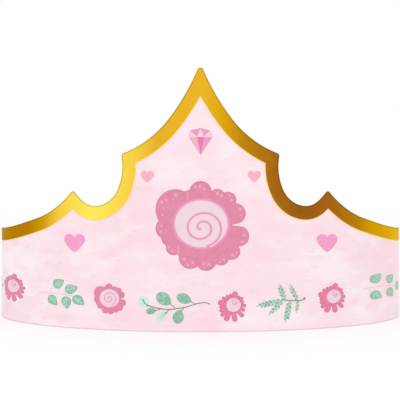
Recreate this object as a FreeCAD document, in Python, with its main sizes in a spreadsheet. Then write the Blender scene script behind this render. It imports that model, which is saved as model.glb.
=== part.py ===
"""Paper crown: a die-cut card strip rolled into a ring, with a gold foil border.

The strip is drawn flat, with arc length along X and height along Y, and is then rolled
to the ring's radius. Its ends lap and are glued at the centre of the back. The foil
border follows the strip's whole top edge, on the outer face.

Row frame: the ring's axis is +Z, the bottom edge is z = 0, the peak is at -Y and the
glued lap is at +Y. Millimetres and degrees.
"""
import FreeCAD, Part
import math
import os

import Sketcher
from FreeCAD import Base, Vector

doc = FreeCAD.newDocument("paper_crown")

# Driving dimensions
SIZES = (
    ("ring_diameter", 185.0, "outside diameter of the rolled card, without the lap"),
    ("card_thickness", 0.4, "card stock"),
    ("foil_thickness", 0.2, "foil paper of the border, with its glue"),
    ("border_width", 5.8, "foil border, measured square to the cut edge"),
    ("lap_length", 20.0, "glued overlap of the strip's two ends"),
    ("lap_ramp", 8.0, "run over which the outer end climbs onto the inner one"),
    ("band_height", 40.5, "level height of the sides and back"),
    ("dip_rise", 10.2, "bottom of the scallop above the band"),
    ("cusp_rise", 6.6, "sharp outer cusp above the bottom of the scallop"),
    ("shoulder_rise", 21.1, "sharp shoulder above the bottom of the scallop"),
    ("peak_rise", 34.5, "rounded peak above the sharp shoulder"),
    ("shoulder_reach", 32.9, "centre line to the shoulder, along the strip"),
    ("scallop_inner_run", 12.1, "shoulder to the bottom of the scallop"),
    ("scallop_outer_run", 11.1, "bottom of the scallop to the cusp"),
    ("sweep_run", 67.9, "cusp to where the edge runs level"),
    ("sweep_ratio", 1.87, "flat arc's tangent over the tight arc's, in the outer sweep"),
    ("peak_slope", 68.8, "fall of the edge as it leaves the peak"),
    ("shoulder_slope", 17.6, "fall of the edge as it reaches the shoulder"),
    ("shoulder_undercut", 13.3, "lean of the edge under the shoulder, past upright"),
    ("cusp_inner_slope", 48.2, "rise of the scallop as it reaches the cusp"),
    ("cusp_outer_slope", 44.5, "fall of the edge as it leaves the cusp"),
    ("corner_radius", 1.2, "rounding of the peak, shoulders and cusps"),
)
# How far a cutting shape runs past the card it trims
CUT_MARGIN = 2.0

sheet = doc.addObject("Spreadsheet::Sheet", "sizes")
for row, (alias, value, meaning) in enumerate(SIZES, start=1):
    sheet.set(f"A{row}", meaning)
    sheet.set(f"B{row}", str(value))
    sheet.setAlias(f"B{row}", alias)
doc.recompute()


def size(alias):
    """A driving dimension as the sheet holds it."""
    return float(sheet.get(alias))


def origin_plane(body, role):
    """One of a body's own origin planes."""
    return next(item for item in body.Origin.OriginFeatures if item.Role == role)


# Horizontal section of the rolled strip
def on_circle(radius, across):
    """The point of a circle about the axis, on its back half, at a given X."""
    return Vector(across, math.sqrt(radius * radius - across * across), 0)


def back_arc(radius, right_x, left_x, long_way):
    """An arc about the axis between two X positions at the back, the short or the long way."""
    right = math.atan2(on_circle(radius, right_x).y, right_x)
    left = math.atan2(on_circle(radius, left_x).y, left_x)
    start, end = (left, right + 2 * math.pi) if long_way else (right, left)
    return Part.ArcOfCircle(Part.Circle(Vector(), Vector(0, 0, 1), radius), start, end)


def bind(sketch, name, constraint, expression):
    """Adds a named constraint that takes its value from the sheet."""
    index = sketch.addConstraint(constraint)
    sketch.renameConstraint(index, name)
    sketch.setExpression(f"Constraints.{name}", expression)


def join(sketch, *ends):
    """Makes pairs of end points coincide: each end is (geometry, 1 for start or 2 for end)."""
    for (first, first_end), (second, second_end) in ends:
        sketch.addConstraint(
            Sketcher.Constraint("Coincident", first, first_end, second, second_end)
        )


def centre_arc(sketch, name, arc, expression):
    """Holds an arc's centre on the axis and binds its radius."""
    sketch.addConstraint(Sketcher.Constraint("Coincident", arc, 3, -1, 1))
    radius = sketch.Geometry[arc].Radius
    bind(sketch, name, Sketcher.Constraint("Radius", arc, radius), expression)


def place_across(sketch, name, geometry, end, expression, sign):
    """Binds how far an end point lies from the centre plane, to the right or the left."""
    point = sketch.getPoint(geometry, end)
    ends = (-1, 1, geometry, end) if sign > 0 else (geometry, end, -1, 1)
    bind(sketch, name, Sketcher.Constraint("DistanceX", *ends, abs(point.x)), expression)


OUTER_RADIUS = "sizes.ring_diameter / 2"
INNER_RADIUS = "sizes.ring_diameter / 2 - sizes.card_thickness"
LAP_RADIUS = "sizes.ring_diameter / 2 + sizes.card_thickness"
HALF_LAP = "sizes.lap_length / 2"
RAMP_FOOT = "sizes.lap_length / 2 + sizes.lap_ramp"
FOIL = "sizes.foil_thickness"


def card_section(sketch):
    """The card's section: one turn of the strip, whose outer end climbs onto its inner end."""
    radius, card = size("ring_diameter") / 2, size("card_thickness")
    half_lap = size("lap_length") / 2
    foot = half_lap + size("lap_ramp")
    outer, ramp, lap, end_face, inner, inner_ramp, inner_end = range(7)
    sketch.addGeometry([
        back_arc(radius, half_lap, -foot, True),
        Part.LineSegment(on_circle(radius + card, -half_lap), on_circle(radius, -foot)),
        back_arc(radius + card, half_lap, -half_lap, False),
        Part.LineSegment(on_circle(radius, half_lap), on_circle(radius + card, half_lap)),
        back_arc(radius - card, -half_lap, -foot, True),
        Part.LineSegment(on_circle(radius, -half_lap), on_circle(radius - card, -foot)),
        Part.LineSegment(on_circle(radius - card, -half_lap), on_circle(radius, -half_lap)),
    ])
    join(
        sketch,
        ((outer, 1), (ramp, 2)), ((ramp, 1), (lap, 2)),
        ((lap, 1), (end_face, 2)), ((end_face, 1), (outer, 2)),
        ((inner, 1), (inner_ramp, 2)), ((inner_ramp, 1), (inner_end, 2)),
        ((inner_end, 1), (inner, 2)),
    )
    centre_arc(sketch, "outer_radius", outer, OUTER_RADIUS)
    centre_arc(sketch, "lap_radius", lap, LAP_RADIUS)
    centre_arc(sketch, "inner_radius", inner, INNER_RADIUS)
    sketch.addConstraint(Sketcher.Constraint("Vertical", end_face))
    sketch.addConstraint(Sketcher.Constraint("Vertical", inner_end))
    sketch.addConstraint(Sketcher.Constraint("PointOnObject", inner_ramp, 1, outer))
    place_across(sketch, "outer_end", outer, 2, HALF_LAP, 1)
    place_across(sketch, "ramp_foot", outer, 1, RAMP_FOOT, -1)
    place_across(sketch, "ramp_top", lap, 2, HALF_LAP, -1)
    place_across(sketch, "inner_ramp_foot", inner, 1, RAMP_FOOT, -1)
    place_across(sketch, "inner_end", inner, 2, HALF_LAP, -1)


def foil_section(sketch):
    """The foil's section: a skin on the card's outer face, open at the strip's outer end."""
    radius, card, foil = size("ring_diameter") / 2, size("card_thickness"), size("foil_thickness")
    half_lap = size("lap_length") / 2
    foot = half_lap + size("lap_ramp")
    face, face_ramp, face_lap, lap_end, back_lap, back_ramp, back, free_end = range(8)
    sketch.addGeometry([
        back_arc(radius + foil, half_lap, -foot, True),
        Part.LineSegment(on_circle(radius + card + foil, -half_lap), on_circle(radius + foil, -foot)),
        back_arc(radius + card + foil, half_lap, -half_lap, False),
        Part.LineSegment(on_circle(radius + card, half_lap), on_circle(radius + card + foil, half_lap)),
        back_arc(radius + card, half_lap, -half_lap, False),
        Part.LineSegment(on_circle(radius + card, -half_lap), on_circle(radius, -foot)),
        back_arc(radius, half_lap, -foot, True),
        Part.LineSegment(on_circle(radius, half_lap), on_circle(radius + foil, half_lap)),
    ])
    join(
        sketch,
        ((face, 1), (face_ramp, 2)), ((face_ramp, 1), (face_lap, 2)),
        ((face_lap, 1), (lap_end, 2)), ((lap_end, 1), (back_lap, 1)),
        ((back_lap, 2), (back_ramp, 1)), ((back_ramp, 2), (back, 1)),
        ((back, 2), (free_end, 1)), ((free_end, 2), (face, 2)),
    )
    centre_arc(sketch, "face_radius", face, f"{OUTER_RADIUS} + {FOIL}")
    centre_arc(sketch, "face_lap_radius", face_lap, f"{LAP_RADIUS} + {FOIL}")
    centre_arc(sketch, "back_lap_radius", back_lap, LAP_RADIUS)
    centre_arc(sketch, "back_radius", back, OUTER_RADIUS)
    sketch.addConstraint(Sketcher.Constraint("Vertical", lap_end))
    sketch.addConstraint(Sketcher.Constraint("Vertical", free_end))
    place_across(sketch, "lap_end", back_lap, 1, HALF_LAP, 1)
    place_across(sketch, "free_end", back, 2, HALF_LAP, 1)
    place_across(sketch, "face_ramp_top", face_lap, 2, HALF_LAP, -1)
    place_across(sketch, "face_ramp_foot", face, 1, RAMP_FOOT, -1)
    place_across(sketch, "back_ramp_top", back_lap, 2, HALF_LAP, -1)
    place_across(sketch, "back_ramp_foot", back, 1, RAMP_FOOT, -1)


FULL_HEIGHT = "sizes.band_height + sizes.dip_rise + sizes.shoulder_rise + sizes.peak_rise"


def rolled_wall(name, draw_section):
    """A wall of the given section, as tall as the peak, before its top edge is cut."""
    body = doc.addObject("PartDesign::Body", name)
    sketch = body.newObject("Sketcher::SketchObject", f"{name}_section")
    sketch.AttachmentSupport = [(origin_plane(body, "XY_Plane"), "")]
    sketch.MapMode = "FlatFace"
    draw_section(sketch)
    pad = body.newObject("PartDesign::Pad", f"{name}_pad")
    pad.Profile = sketch
    pad.setExpression("Length", FULL_HEIGHT)
    doc.recompute()
    return body


# Flat cutting template: X is arc length from the centre line, Y is height
def arc_through(start, heading, end):
    """The circular arc that leaves start along heading and ends at end."""
    chord = end - start
    turn = math.atan2(heading.x * chord.y - heading.y * chord.x, heading.dot(chord))
    square = Vector(-chord.y, chord.x, 0)
    middle = (start + end) / 2 - square * (math.tan(turn / 2) / 2)
    return Part.Arc(start, middle, end).toShape()


def tangent_arcs(start, start_slope, end, end_slope, ratio=1.0):
    """Two tangent arcs from start to end with the given slopes.

    ratio is the end arc's tangent length over the start arc's.
    """
    leave = Vector(math.cos(start_slope), math.sin(start_slope), 0)
    reach = Vector(math.cos(end_slope), math.sin(end_slope), 0)
    chord = end - start
    quadratic = 2 * ratio * (1 - leave.dot(reach))
    linear = chord.dot(leave + reach * ratio)
    root = math.sqrt(linear * linear + quadratic * chord.dot(chord))
    tangent = (root - linear) / quadratic
    first_corner = start + leave * tangent
    second_corner = end - reach * (tangent * ratio)
    meeting = (first_corner * ratio + second_corner) / (1 + ratio)
    heading = (second_corner - first_corner).normalize()
    return [arc_through(start, leave, meeting), arc_through(meeting, heading, end)]


def mirrored(edge):
    """The edge on the other side of the centre line."""
    return edge.mirror(Vector(), Vector(1, 0, 0))


def template_face():
    """The strip's flat outline, with its corners rounded, running past both ends and the bottom."""
    band = size("band_height")
    dip_height = band + size("dip_rise")
    shoulder_height = dip_height + size("shoulder_rise")
    peak_slope = math.radians(size("peak_slope"))
    tip_loss = size("corner_radius") * (1 / math.cos(peak_slope) - 1)
    dip_reach = size("shoulder_reach") + size("scallop_inner_run")
    cusp_reach = dip_reach + size("scallop_outer_run")
    peak = Vector(0, shoulder_height + size("peak_rise") + tip_loss, 0)
    shoulder = Vector(size("shoulder_reach"), shoulder_height, 0)
    dip = Vector(dip_reach, dip_height, 0)
    cusp = Vector(cusp_reach, dip_height + size("cusp_rise"), 0)
    level = Vector(cusp_reach + size("sweep_run"), band, 0)
    undercut = math.pi / 2 + math.radians(size("shoulder_undercut"))
    shoulder_slope = math.radians(size("shoulder_slope"))
    cusp_inner, cusp_outer = math.radians(size("cusp_inner_slope")), math.radians(size("cusp_outer_slope"))
    crest = [
        *tangent_arcs(peak, -peak_slope, shoulder, -shoulder_slope),
        *tangent_arcs(shoulder, -undercut, dip, 0),
        *tangent_arcs(dip, 0, cusp, cusp_inner),
        *tangent_arcs(cusp, -cusp_outer, level, 0, size("sweep_ratio")),
    ]
    past_end = math.pi * size("ring_diameter") / 2 + level.x
    below = -band
    frame = [
        Part.makeLine(level, Vector(past_end, band, 0)),
        Part.makeLine(Vector(past_end, band, 0), Vector(past_end, below, 0)),
        Part.makeLine(Vector(past_end, below, 0), Vector(0, below, 0)),
    ]
    half = crest + frame
    outline = Part.Wire(Part.__sortEdges__(half + [mirrored(edge) for edge in half]))
    sharp = Part.Face(outline)
    rounding = size("corner_radius")
    return sharp.makeOffset2D(-rounding).makeOffset2D(rounding)


def right_half(flat_shape):
    """The one face of a flat shape from the centre line to the centre of the back."""
    half_turn = math.pi * size("ring_diameter") / 2
    strip = Part.makePlane(half_turn, flat_shape.BoundBox.YMax + CUT_MARGIN)
    return flat_shape.common(strip).Faces[0]


def rolled_face(flat_face, radius):
    """A flat face laid on a cylinder about Z: arc length becomes angle, and height stays."""
    surface = Part.Cylinder()
    surface.Radius = radius
    roll_radius = size("ring_diameter") / 2
    edges = []
    for edge in flat_face.OuterWire.OrderedEdges:
        curve = edge.Curve.toBSpline(edge.FirstParameter, edge.LastParameter)
        poles = [Base.Vector2d(pole.x / roll_radius, pole.y) for pole in curve.getPoles()]
        trace = Part.Geom2d.BSplineCurve2d()
        trace.buildFromPolesMultsKnots(
            poles, curve.getMultiplicities(), curve.getKnots(), False, curve.Degree, curve.getWeights()
        )
        edges.append(trace.toShape(surface))
    face = Part.Face(surface, Part.Wire(edges))
    face.validate()
    return face


def rolled_half(flat_face):
    """The solid that a flat face sweeps through the card, from inside the ring to outside it."""
    radius = size("ring_diameter") / 2
    inner = rolled_face(flat_face, radius - size("card_thickness") - CUT_MARGIN)
    outer = rolled_face(flat_face, radius + size("card_thickness") + size("foil_thickness") + CUT_MARGIN)
    sides = [
        Part.makeRuledSurface(low, high)
        for low, high in zip(inner.OuterWire.OrderedEdges, outer.OuterWire.OrderedEdges)
    ]
    shell = Part.Shell([inner, outer, *sides])
    shell.sewShape()
    solid = Part.Solid(shell)
    if solid.Volume < 0:
        solid.reverse()
    return solid


def rolled_template(name, flat_face):
    """The trimming solid for both halves of the ring, with the centre line turned to -Y."""
    half = rolled_half(flat_face)
    whole = half.fuse(half.mirror(Vector(), Vector(0, 1, 0))).removeSplitter()
    feature = doc.addObject("Part::Feature", name)
    feature.Shape = whole
    feature.Placement = FreeCAD.Placement(Vector(), FreeCAD.Rotation(Vector(0, 0, 1), -90))
    return feature


def trimmed(name, wall, template):
    """The part of a wall that lies within a rolled template."""
    part = doc.addObject("Part::Common", name)
    part.Base = wall
    part.Tool = template
    part.Refine = True
    part.Label = name
    return part


template = template_face()
border = template.cut(template.makeOffset2D(-size("border_width")))
card_template = rolled_template("card_template", right_half(template))
border_template = rolled_template("border_template", right_half(border))
doc.recompute()

SUBPARTS = (
    trimmed("crown_card", rolled_wall("card_wall", card_section), card_template),
    trimmed("gold_foil_border", rolled_wall("foil_wall", foil_section), border_template),
)
doc.recompute()

for item in doc.Objects:
    if "Invalid" in item.State or "Error" in item.State:
        raise RuntimeError(f"{item.Label} failed: {item.State}")

os.makedirs("parts", exist_ok=True)
for part in SUBPARTS:
    if part.Shape.isNull() or not part.Shape.isValid() or len(part.Shape.Solids) != 1:
        raise RuntimeError(f"{part.Label} is not one valid solid")
    solid = part.Shape.Solids[0]
    solid.exportStep(f"parts/{part.Label}.step")
    print(part.Label, round(solid.Volume, 2), solid.BoundBox)
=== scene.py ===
"""A party crown rolled from printed card: a pink washed sheet with a gold foil border and a garland."""

import math

import bpy
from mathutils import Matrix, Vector


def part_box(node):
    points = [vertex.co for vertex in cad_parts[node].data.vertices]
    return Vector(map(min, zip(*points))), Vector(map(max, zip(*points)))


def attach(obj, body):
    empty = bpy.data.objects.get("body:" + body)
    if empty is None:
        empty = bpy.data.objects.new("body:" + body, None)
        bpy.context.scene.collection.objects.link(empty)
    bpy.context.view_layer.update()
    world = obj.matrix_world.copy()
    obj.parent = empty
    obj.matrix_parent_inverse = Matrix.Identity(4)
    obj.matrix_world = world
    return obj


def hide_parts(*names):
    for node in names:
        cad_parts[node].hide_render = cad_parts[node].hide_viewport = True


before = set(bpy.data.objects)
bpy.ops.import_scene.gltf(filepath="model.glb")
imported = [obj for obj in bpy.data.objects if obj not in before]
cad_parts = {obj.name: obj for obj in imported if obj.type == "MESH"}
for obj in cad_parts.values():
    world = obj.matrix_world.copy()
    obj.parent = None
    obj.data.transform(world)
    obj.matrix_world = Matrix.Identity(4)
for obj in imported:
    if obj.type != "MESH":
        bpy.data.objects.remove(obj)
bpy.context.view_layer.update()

bl_info = {
    "name": "Rolled paper crown",
    "version": (1, 0, 0),
    "blender": (4, 5, 0),
    "location": "3D View > Sidebar > Crown",
    "description": "Builds a rolled card crown with a foil border, printed flowers and its stage",
    "category": "Add Mesh",
}

# Drawings are in millimetres on the unrolled sheet: s runs along the band, z is the height.
MM = 0.001
CARD_LOW, CARD_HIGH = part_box("crown_card")

# The air between the lapped ends, and how far a printed layer reaches into the card.
LAP_GAP, INK_SINK = 0.00001, 0.00005

# The ratio of the two arcs that lead from the small outer point down to the level band.
SWEEP_RATIO = 1.87

# The eye's place, its lens in millimetres, and its distance from the ring's middle in radii of the ring.
EYE, EYE_LENS, EYE_AWAY = (-0.00016, -0.6274, 0.05315), 119.8, 6.78

# The light all round, what is added where it is seen directly, and the floor's shade and glow.
WORLD_LIGHT, DIRECT_LIGHT, FLOOR_SHADE, FLOOR_GLOW = 0.94, 0.06, 0.955, 0.08


# Sizes and colours

def srgb(*steps):
    """A colour written in 0 to 255 steps, as the linear values that a shader takes."""
    shares = [step / 255 for step in steps]
    return (*(s / 12.92 if s <= 0.04045 else ((s + 0.055) / 1.055) ** 2.4 for s in shares), 1.0)


def length_size(name, description, default):
    return bpy.props.FloatProperty(
        name=name, description=description, default=default, min=0.0, subtype="DISTANCE", unit="LENGTH"
    )


def slope_size(name, description, default):
    return bpy.props.FloatProperty(
        name=name, description=description, default=math.radians(default), subtype="ANGLE", unit="ROTATION"
    )


def tint(name, description, *steps):
    return bpy.props.FloatVectorProperty(
        name=name, description=description, default=srgb(*steps)[:3],
        size=3, min=0.0, max=1.0, subtype="COLOR",
    )


class CrownSizes(bpy.types.PropertyGroup):
    ring_diameter: length_size(
        "Ring diameter", "Outer diameter of the band", round(CARD_HIGH.x - CARD_LOW.x, 4)
    )
    card_thickness: length_size("Card thickness", "Thickness of the card", 0.0004)
    foil_rise: length_size("Foil rise", "How far the gold border stands off the card", 0.0001)
    border_width: length_size("Border width", "Width of the gold border", 0.0058)
    lap_length: length_size("Lap length", "Overlap of the two ends at the back", 0.020)
    lap_ramp: length_size("Lap ramp", "Run over which the outer end rises onto the inner end", 0.008)
    band_height: length_size("Band height", "Height of the level band at the back", 0.0405)
    dip_rise: length_size("Dip rise", "Rise from the level band to the dip", 0.0102)
    cusp_rise: length_size("Cusp rise", "Rise from the dip to the small outer point", 0.0066)
    shoulder_rise: length_size("Shoulder rise", "Rise from the dip to the shoulder point", 0.0211)
    peak_rise: length_size("Peak rise", "Rise from the shoulder to the peak", 0.0345)
    shoulder_reach: length_size("Shoulder reach", "Run from the middle of the front to the shoulder", 0.0329)
    inner_run: length_size("Inner run", "Run from the shoulder to the dip", 0.0121)
    outer_run: length_size("Outer run", "Run from the dip to the small outer point", 0.0111)
    sweep_run: length_size("Sweep run", "Run from the small outer point to the level band", 0.0679)
    peak_slope: slope_size("Peak slope", "Slope of the edge below the peak", 68.8)
    shoulder_slope: slope_size("Shoulder slope", "Slope of the edge above the shoulder", 17.6)
    shoulder_undercut: slope_size("Shoulder undercut", "How far the edge turns in below the shoulder", 13.3)
    cusp_inner_slope: slope_size("Inner cusp slope", "Slope inside the small outer point", 48.2)
    cusp_outer_slope: slope_size("Outer cusp slope", "Slope outside the small outer point", 44.5)
    corner_radius: length_size("Corner radius", "Rounding of the cut points", 0.0012)
    ink_rise: length_size("Ink rise", "Step from one printed layer to the next", 0.00003)
    crease_step: length_size("Crease step", "Run between the creases that let a flat shape roll", 0.002)


class CrownColours(bpy.types.PropertyGroup):
    wash_base: tint("Wash", "Main pink of the washed ground", 253, 227, 233)
    wash_pale: tint("Wash pale", "Palest patches of the wash", 254, 243, 247)
    wash_blush: tint("Wash blush", "Pinkest patches of the wash", 253, 217, 226)
    wash_lilac: tint("Wash lilac", "Cool lilac patches near the peak", 250, 228, 250)
    wash_speck: tint("Wash speck", "Small grey flecks in the wash", 232, 212, 224)
    # Painted shade: the greyed line along the lower edge stands in for the shade where the card meets the
    # floor.
    lower_edge_shade: tint("Lower edge shade", "Greyed line along the lower edge", 222, 202, 210)
    paper_white: tint("Paper", "Unprinted inside and cut edges of the card", 250, 247, 244)
    petal: tint("Petal", "Rose of the petals", 228, 140, 168)
    petal_edge: tint("Petal edge", "Deeper rose at the petal rims", 212, 122, 152)
    petal_bright: tint("Bright petal", "Rose of the daisies", 236, 130, 164)
    petal_deep: tint("Deep petal", "Dark rose between the petals of the daisies", 206, 108, 142)
    petal_dot: tint("Petal dot", "Light dots and seams on the petals", 248, 160, 192)
    flower_ring: tint("Flower ring", "Ring and spiral of the flowers", 238, 156, 194)
    flower_glow: tint("Flower glow", "Light rim inside the ring", 253, 206, 228)
    flower_disc: tint("Flower disc", "Greyish pink heart of the big flower", 240, 217, 224)
    small_disc: tint("Small disc", "Heart of the small flowers", 249, 208, 224)
    small_swirl: tint("Small swirl", "Swirl of the small flowers", 212, 176, 192)
    heart_soft: tint("Soft heart", "Two small hearts", 251, 180, 194)
    heart_bright: tint("Bright heart", "Two larger hearts", 246, 158, 203)
    leaf: tint("Leaf", "Green of the leaves", 158, 211, 184)
    leaf_edge: tint("Leaf edge", "Deeper green in the leaves", 120, 170, 146)
    leaf_mint: tint("Mint leaf", "Pale leaves of the branch", 216, 241, 230)
    leaf_vein: tint("Leaf vein", "Light veins of the leaves", 184, 232, 204)
    stem: tint("Stem", "Grey green of the stems", 112, 132, 124)
    stem_faint: tint("Faint stem", "Stems of the leaf sprigs", 226, 206, 214)
    # The gold shades below are laid round the ring as painted reflections: the bright and dark bands of the
    # foil.
    gold_pale: tint("Pale gold", "Brightest gold of the border", 255, 236, 92)
    gold_bright: tint("Bright gold", "Bright gold of the border", 244, 206, 68)
    gold_warm: tint("Warm gold", "Middle gold of the border", 220, 169, 36)
    gold_amber: tint("Amber gold", "Darker yellow gold of the border", 210, 156, 10)
    gold_deep: tint("Deep gold", "Deep gold of the border", 184, 129, 14)
    gold_brown: tint("Brown gold", "Brown gold of the border", 168, 104, 21)
    gold_bronze: tint("Bronze gold", "Darkest gold of the border", 148, 87, 20)
    # Painted highlight: the light line along the inner edge of the border.
    gold_edge_highlight: tint("Gold line", "Light line inside the border", 255, 222, 138)


def sizes():
    return bpy.context.scene.crown_sizes


def colour(name):
    return (*getattr(bpy.context.scene.crown_colours, name), 1.0)


def between(first, second, share):
    """A shade part of the way from one colour to another."""
    return tuple(a + (b - a) * share for a, b in zip(first, second))


def darker(shade, share):
    """A shade with its red, green and blue times a share."""
    return (*(channel * share for channel in shade[:3]), 1.0)


# Lines on the unrolled sheet

def ray(angle):
    """The direction that rises at an angle in radians."""
    return Vector((math.cos(angle), math.sin(angle)))


def unit(slope):
    """The direction that rises at a slope in degrees."""
    return ray(math.radians(slope))


def turned(direction, angle):
    cosine, sine = math.cos(angle), math.sin(angle)
    return Vector((direction.x * cosine - direction.y * sine, direction.x * sine + direction.y * cosine))


def cross(first, second):
    return first.x * second.y - first.y * second.x


def arc_points(start, heading, end, step=0.8):
    """Points along the arc that leaves start along heading and ends at end, without start."""
    chord = end - start
    half = math.atan2(cross(heading, chord), heading.dot(chord))
    if abs(half) < 1e-5:
        return [end.copy()]
    reach = chord.length / math.sin(half)
    count = max(2, math.ceil(reach * half / step))
    turns = [half * index / count for index in range(1, count + 1)]
    return [start + turned(heading, turn) * (reach * math.sin(turn)) for turn in turns]


def sweep(start, start_slope, end, end_slope, ratio=1.0):
    """Two smooth arcs from start to end, with start. Ratio is the second's tangent over the first's."""
    leave, reach = unit(start_slope), unit(end_slope)
    chord = end - start
    quadratic = 2 * ratio * (1 - leave.dot(reach))
    linear = chord.dot(leave + reach * ratio)
    tangent = (math.sqrt(linear ** 2 + quadratic * chord.dot(chord)) - linear) / quadratic
    first_corner = start + leave * tangent
    second_corner = end - reach * (tangent * ratio)
    meeting = (first_corner * ratio + second_corner) / (1 + ratio)
    heading = (second_corner - first_corner).normalized()
    return [start.copy()] + arc_points(start, leave, meeting) + arc_points(meeting, heading, end)


def sheet_end():
    """Where the sheet ends, measured along the band from the middle of the front."""
    return (math.pi * sizes().ring_diameter / 2 + sizes().lap_length / 2) / MM


def crest_stretches():
    """The cut top edge from the peak to the right end, as its smooth stretches between points."""
    size = sizes()
    level = size.band_height / MM
    dip_height = level + size.dip_rise / MM
    shoulder = Vector((size.shoulder_reach / MM, dip_height + size.shoulder_rise / MM))
    dip = Vector((shoulder.x + size.inner_run / MM, dip_height))
    cusp = Vector((dip.x + size.outer_run / MM, dip_height + size.cusp_rise / MM))
    flat = Vector((cusp.x + size.sweep_run / MM, level))
    sharp = size.corner_radius / MM * (1 / math.cos(size.peak_slope) - 1)
    peak = Vector((0.0, shoulder.y + size.peak_rise / MM + sharp))
    names = ("peak_slope", "shoulder_slope", "shoulder_undercut", "cusp_inner_slope", "cusp_outer_slope")
    slope = {name: math.degrees(getattr(size, name)) for name in names}
    brow = sweep(peak, -slope["peak_slope"], shoulder, -slope["shoulder_slope"])
    notch = sweep(shoulder, -90 - slope["shoulder_undercut"], dip, 0.0)
    notch += sweep(dip, 0.0, cusp, slope["cusp_inner_slope"])[1:]
    side = sweep(cusp, -slope["cusp_outer_slope"], flat, 0.0, SWEEP_RATIO)
    side.append(Vector((sheet_end(), level)))
    return [brow, notch, side]


def run_at(points, index):
    """The direction of a line at one of its points."""
    return (points[min(index + 1, len(points) - 1)] - points[max(index - 1, 0)]).normalized()


def mirrored(points):
    """The same line on the other side of the middle, from its other end."""
    return [Vector((-point.x, point.y)) for point in points][::-1]


def beside(points, distance):
    """The line that runs a distance to the right of points, which is inwards on the crest."""
    runs = [run_at(points, index) for index in range(len(points))]
    return [point + Vector((run.y, -run.x)) * distance for point, run in zip(points, runs)]


def crossing(first, second):
    """Where two lines cross: the place on each and the point."""
    for i in range(len(first) - 1, 0, -1):
        start, run = first[i - 1], first[i] - first[i - 1]
        for j in range(len(second) - 1):
            gap, other = second[j] - start, second[j + 1] - second[j]
            across = cross(run, other)
            if abs(across) < 1e-12:
                continue
            t, u = cross(gap, other) / across, cross(gap, run) / across
            if -1e-9 <= t <= 1 + 1e-9 and -1e-9 <= u <= 1 + 1e-9:
                return i, j, start + run * t
    raise RuntimeError("two edges of the border don't meet")


def shortened(points, distance):
    """The line without its last stretch of that length, and the direction at its new end."""
    points = [point.copy() for point in points]
    while len(points) > 1:
        run = points[-1] - points[-2]
        if run.length > distance:
            points[-1] = points[-1] - run.normalized() * distance
            return points, run.normalized()
        distance -= run.length
        points.pop()
    raise RuntimeError("the line is too short for its corner")


def rounded_join(first, second, radius):
    """Two lines that share a point, joined by a small arc in place of the corner."""
    if radius < 0.05:
        return first + second[1:]
    arriving = (first[-1] - first[-3]).normalized()
    leaving = (second[2] - second[0]).normalized()
    turn = math.acos(max(-1.0, min(1.0, arriving.dot(leaving))))
    tangent = radius * math.tan(turn / 2)
    head, heading = shortened(first, tangent)
    tail, _ = shortened(second[::-1], tangent)
    tail = tail[::-1]
    return head + arc_points(head[-1], heading, tail[0], 0.3) + tail[1:]


def crest_line(inset=0.0):
    """The whole crest from the left end to the right end, moved inwards by inset."""
    radius = max(0.0, sizes().corner_radius / MM - inset)
    stretches = [beside(stretch, inset) for stretch in crest_stretches()]
    if inset:
        _, first, point = crossing(mirrored(stretches[0]), stretches[0])
        stretches[0] = [point] + stretches[0][first + 1:]
        for index in (0, 1):
            i, j, point = crossing(stretches[index], stretches[index + 1])
            stretches[index] = stretches[index][:i] + [point]
            stretches[index + 1] = [point] + stretches[index + 1][j + 1:]
    right = rounded_join(rounded_join(stretches[0], stretches[1], radius), stretches[2], radius)
    return rounded_join(mirrored(right), right, radius)


def clipped(points, low, high):
    """The part of a left to right line between two places along the sheet."""
    kept = [point.copy() for point in points if low < point.x < high]
    return [Vector((low, points[0].y))] + kept + [Vector((high, points[-1].y))]


def smooth_line(points, pieces=6):
    """A soft line through points."""
    points = [Vector(point) for point in points]
    line = [points[0]]
    for index in range(len(points) - 1):
        a = points[max(index - 1, 0)]
        b, c = points[index], points[index + 1]
        d = points[min(index + 2, len(points) - 1)]
        for cut in range(1, pieces + 1):
            t = cut / pieces
            bend, twist = 2 * a - 5 * b + 4 * c - d, 3 * b - a - 3 * c + d
            line.append((2 * b + (c - a) * t + bend * t ** 2 + twist * t ** 3) * 0.5)
    return line


def stroke(points, width, tail=None):
    """The outline of a brush stroke of that width, which narrows to tail at its end."""
    points = [Vector(point) for point in points]
    tail = width if tail is None else tail
    left, right = [], []
    for index, point in enumerate(points):
        run = run_at(points, index)
        half = (width + (tail - width) * index / (len(points) - 1)) / 2
        left.append(point + Vector((-run.y, run.x)) * half)
        right.append(point - Vector((-run.y, run.x)) * half)
    return left + right[::-1]


def oval(width, height, count=36):
    rays = [ray(2 * math.pi * index / count) for index in range(count)]
    return [Vector((width / 2 * way.x, height / 2 * way.y)) for way in rays]


def placed(outline, s, z, size=1.0, turn=0.0, stretch=1.0):
    """An outline turned by degrees, sized, drawn out along the band and set at a place on the sheet."""
    angle = math.radians(turn)
    moved = [turned(Vector(point), angle) * size for point in outline]
    return [Vector((s + point.x * stretch, z + point.y)) for point in moved]


# Cutting, rolling and joining

def deselect():
    if bpy.context.object and bpy.context.object.mode != "OBJECT":
        bpy.ops.object.mode_set(mode="OBJECT")
    bpy.ops.object.select_all(action="DESELECT")


def choose(piece):
    deselect()
    piece.select_set(True)
    bpy.context.view_layer.objects.active = piece


def signed_area(outline):
    return sum(cross(outline[index - 1], point) for index, point in enumerate(outline)) / 2


def cut_shape(outline, material, rise=0.0):
    """A flat filled shape on the unrolled sheet, with its face outwards and rise off the card."""
    if signed_area(outline) < 0:
        outline = outline[::-1]
    deselect()
    bpy.ops.mesh.primitive_circle_add(
        vertices=len(outline), radius=MM, fill_type="NGON", rotation=(math.radians(90), 0, 0)
    )
    shape = bpy.context.object
    for vertex, point in zip(shape.data.vertices, outline):
        vertex.co = (point.x * MM, point.y * MM, rise)
    bpy.ops.object.transform_apply(location=True, rotation=True, scale=True)
    shape.data.materials.append(material)
    return shape


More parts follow.
